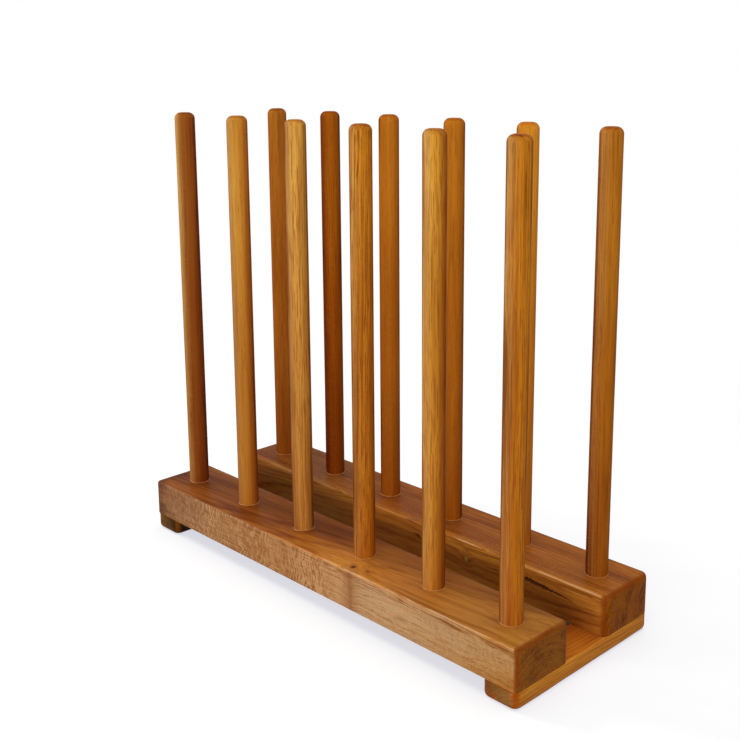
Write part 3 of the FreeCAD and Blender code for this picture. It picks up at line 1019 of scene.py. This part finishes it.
class BOOTRACK_OT_dowels(bpy.types.Operator):
    """Turn the twelve upright dowels."""

    bl_idname = "bootrack.dowels"
    bl_label = "Dowels"

    def execute(self, context):
        sizes = context.scene.boot_rack_sizes
        for number, dowel in enumerate(DOWELS):
            low, high, middle, radius = measured(dowel)
            tone, contrast, bearing, distance, ring, *tints = DOWEL_WOOD[dowel]
            away = Vector((math.cos(math.radians(bearing)), math.sin(math.radians(bearing)), 0))
            lean = Vector((0.012 * math.cos(number * 2.1), 0.012 * math.sin(number * 1.7), 1))
            # The line across a dowel as seen from the camera, along which its painted light and
            # shade lie.
            across = Vector((math.sqrt(0.5), math.sqrt(0.5), 0))
            heart = across.dot(middle) / MM
            width = (heart - DOWEL_RADIUS, heart + DOWEL_RADIUS)
            # Painted shade, darker towards the foot.
            foot = DOWEL_FOOT_SHADE[dowel.split("_")[0]]
            wood = {
                **DOWEL_OAK, "grain": lean, "outward": -away, "seed": 11 + number,
                "pith": middle / MM + away * distance, "tone": tone, "Ring width": ring,
                "Contrast": contrast, "Specks": 0.55 * contrast,
                "drifts": ((across, *width, {0: tints[0], 0.5: tints[1], 1: tints[2]}),
                           (across, *width, DOWEL_RIM_SHADE),
                           ((0, 0, 1), 66, 500, {0: foot, 0.5: "#E8DAD4", 1: "#FFFFFF"})),
            }
            hand_over(grow(f"oak_{dowel}", dowel_tree(), {
                "Length": high.z - low.z,
                "Radius": radius,
                "Foot chamfer": sizes.dowel_foot,
                "Top rounding": sizes.dowel_top,
                "Unevenness": sizes.dowel_wobble,
                "Place": (middle.x, middle.y, low.z),
                "Seed": number,
                "Material": oak_material(dowel, wood),
            }), "dowel_oak", dowel)
        return {"FINISHED"}


class BOOTRACK_OT_oil_beads(bpy.types.Operator):
    """Leave a thin bead of hardened oil round each dowel's foot."""

    bl_idname = "bootrack.oil_beads"
    bl_label = "Oil beads"

    def execute(self, context):
        sizes = context.scene.boot_rack_sizes
        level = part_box(RAILS[0])[1].z
        mouths = []
        for dowel in DOWELS:
            _, _, middle, radius = measured(dowel)
            mouths.append((middle.x, middle.y, level))
        hand_over(grow("oil_beads", bead_tree(), {
            "Radius": radius - BEAD_OVERLAP,
            "Width": sizes.oil_width,
            "Height": sizes.oil_height,
            "Bedding": BEAD_BEDDING,
            "Material": small_material("Hardened oil bead"),
        }, mouths), "dowel_oak", sharp=60)
        return {"FINISHED"}


class BOOTRACK_OT_screws(bpy.types.Operator):
    """Drive the countersunk screws that hold the rails to the battens."""

    bl_idname = "bootrack.screws"
    bl_label = "Screws"

    def execute(self, context):
        sizes = context.scene.boot_rack_sizes
        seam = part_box(RAILS[0])[0].z
        for node, places in screw_places():
            low, high, _, radius = measured(node)
            hand_over(grow(f"steel_{node}", screw_tree(), {
                "Length": high.z - low.z,
                "Head radius": radius,
                "Thread start": seam - low.z,
                "Thread pitch": sizes.thread_pitch,
                "Material": small_material("Yellow zinc plated steel"),
            }, places), "screw_steel", node)
        return {"FINISHED"}


FLOOR_REACH = 12.0
# The floor under the back rail: its middle, and where its shade begins and is full.
UNDER_RAIL = (0, 0.073, 0)
UNDER_X = (0.31, 0.29)
UNDER_Y = (0.043, 0.03)
# How far from the middle the floor begins to run out into white, and where it is white.
FLOOR_FADE = (0.6, 1.2)
# Each lamp: its place, its width and its height.
LAMPS = {
    "front": ((0.8, -1.95, 0.5), 1.8, 0.7),
    "side": ((-1.5, -0.55, 1.45), 0.5, 0.5),
    "top": ((0.2, 0.4, 2.2), 3.0, 3.0),
}
LAMPS_AIM = Vector((0, 0, 0.2))
LAMPS_TINT = (1.0, 0.985, 0.96)
CAMERA = {"sensor_width": 36, "lens": 53.906, "shift_x": -0.0647, "shift_y": -0.1230}
CAMERA_PLACE = (0.914413, -0.867622, 0.622764)
CAMERA_TURN = (math.radians(90 - 11.499), 0, math.radians(44.332))


def seen_directly(node):
    """1 for what the camera sees, straight or in a mirror or through glass, and else 0."""
    path = node("LightPath").outputs
    rays = [path[f"Is {kind} Ray"] for kind in ("Camera", "Glossy", "Transmission")]
    return reduce(partial(node, "MAXIMUM"), rays)


def floor_material(stage):
    """A matt white floor that keeps the rack's soft shadow and runs out into white."""
    material = bpy.data.materials.new("Matt white floor")
    node = emptied(material)
    place = node("TexCoord").outputs["Object"]
    seen = seen_directly(node)
    colour = node(MIX, node(NOISE, place, 30.0), (*scaled(stage.floor, 0.99), 1),
                  (*stage.floor, 1))
    matt = node("BsdfPrincipled", {"Base Color": colour, "Roughness": 1.0,
                                   "Specular IOR Level": 0.0})
    # Hardly any light reaches the floor under the back rail.
    x, y, _ = node(SPLIT, node("V_ABSOLUTE", node("V_SUBTRACT", place, UNDER_RAIL))).outputs
    under = node("MULTIPLY", node(SMOOTH, x, *UNDER_X), node(SMOOTH, y, *UNDER_Y))
    glow = node("MULTIPLY", seen, node("MULTIPLY_ADD", under, -0.98, 1.0))
    lit = node("AddShader", matt, node("Emission", (*stage.lift, 1), glow))
    fade = node(SMOOTH, node("V_LENGTH", place), *FLOOR_FADE)
    white = node("Emission", (1, 1, 1, 1), 1.0)
    node("OutputMaterial", node("MixShader", node("MULTIPLY", fade, seen), lit, white))
    return material


class BOOTRACK_OT_stage(bpy.types.Operator):
    """Set up the floor, the lamps, the room's light and the camera."""

    bl_idname = "bootrack.stage"
    bl_label = "Stage"

    def execute(self, context):
        scene = context.scene
        stage = scene.boot_rack_stage
        scene.view_settings.view_transform = "Standard"

        mesh = bpy.data.meshes.new("floor")
        mesh.from_pydata([(x * FLOOR_REACH, y * FLOOR_REACH, 0) for x, y in CORNERS],
                         [], [(0, 1, 2, 3)])
        mesh.materials.append(floor_material(stage))
        new_object("floor", mesh)

        # The room: white where it is seen or mirrored, and plain soft light elsewhere.
        scene.world = bpy.data.worlds.new("Plain room")
        node = emptied(scene.world)
        soft = node("Background", (0.9, 0.95, 1, 1), stage.room)
        white = node("Background", (1, 1, 1, 1), 1.0)
        node("OutputWorld", node("MixShader", seen_directly(node), soft, white))

        # The small lamp on the left draws a pale line along the rounded edges, beside the
        # painted edge highlight.
        for name, (place, width, height) in LAMPS.items():
            lamp = bpy.data.lights.new(name, "AREA")
            lamp.shape = "RECTANGLE"
            lamp.size = width
            lamp.size_y = height
            lamp.energy = getattr(stage, name)
            lamp.color = LAMPS_TINT
            item = new_object(name, lamp)
            item.location = place
            item.rotation_euler = (LAMPS_AIM - item.location).to_track_quat("-Z", "Y").to_euler()
            item.visible_camera = False

        camera = bpy.data.cameras.new("camera")
        for name, value in CAMERA.items():
            setattr(camera, name, value)
        item = new_object("camera", camera)
        item.location = CAMERA_PLACE
        item.rotation_euler = CAMERA_TURN
        scene.camera = item
        return {"FINISHED"}


class BOOTRACK_PT_panel(bpy.types.Panel):
    """The boot rack's sizes, colours and steps."""

    bl_idname = "BOOTRACK_PT_panel"
    bl_label = "Boot rack"
    bl_space_type = "VIEW_3D"
    bl_region_type = "UI"
    bl_category = "Boot rack"

    def draw(self, context):
        layout = self.layout
        for group in SETTINGS:
            box = layout.box()
            settings = getattr(context.scene, group)
            for name in settings.__annotations__:
                box.prop(settings, name)
        for operator in OPERATORS:
            layout.operator(operator.bl_idname)


SETTINGS = {
    "boot_rack_sizes": BootRackSizes,
    "boot_rack_finish": BootRackFinish,
    "boot_rack_stage": BootRackStage,
}
OPERATORS = (
    BOOTRACK_OT_rails,
    BOOTRACK_OT_battens,
    BOOTRACK_OT_dowels,
    BOOTRACK_OT_oil_beads,
    BOOTRACK_OT_screws,
    BOOTRACK_OT_stage,
)
CLASSES = (*SETTINGS.values(), *OPERATORS, BOOTRACK_PT_panel)


def register():
    """Register the classes, and hang the settings on the scene."""
    for item in CLASSES:
        bpy.utils.register_class(item)
    for name, group in SETTINGS.items():
        setattr(bpy.types.Scene, name, PointerProperty(type=group))


def unregister():
    """Take the settings and the classes away again."""
    for name in SETTINGS:
        delattr(bpy.types.Scene, name)
    for item in reversed(CLASSES):
        bpy.utils.unregister_class(item)


def main():
    """Run every step in order."""
    register()
    for operator in OPERATORS:
        group, name = operator.bl_idname.split(".")
        getattr(getattr(bpy.ops, group), name)()


if __name__ == "__main__":
    main()
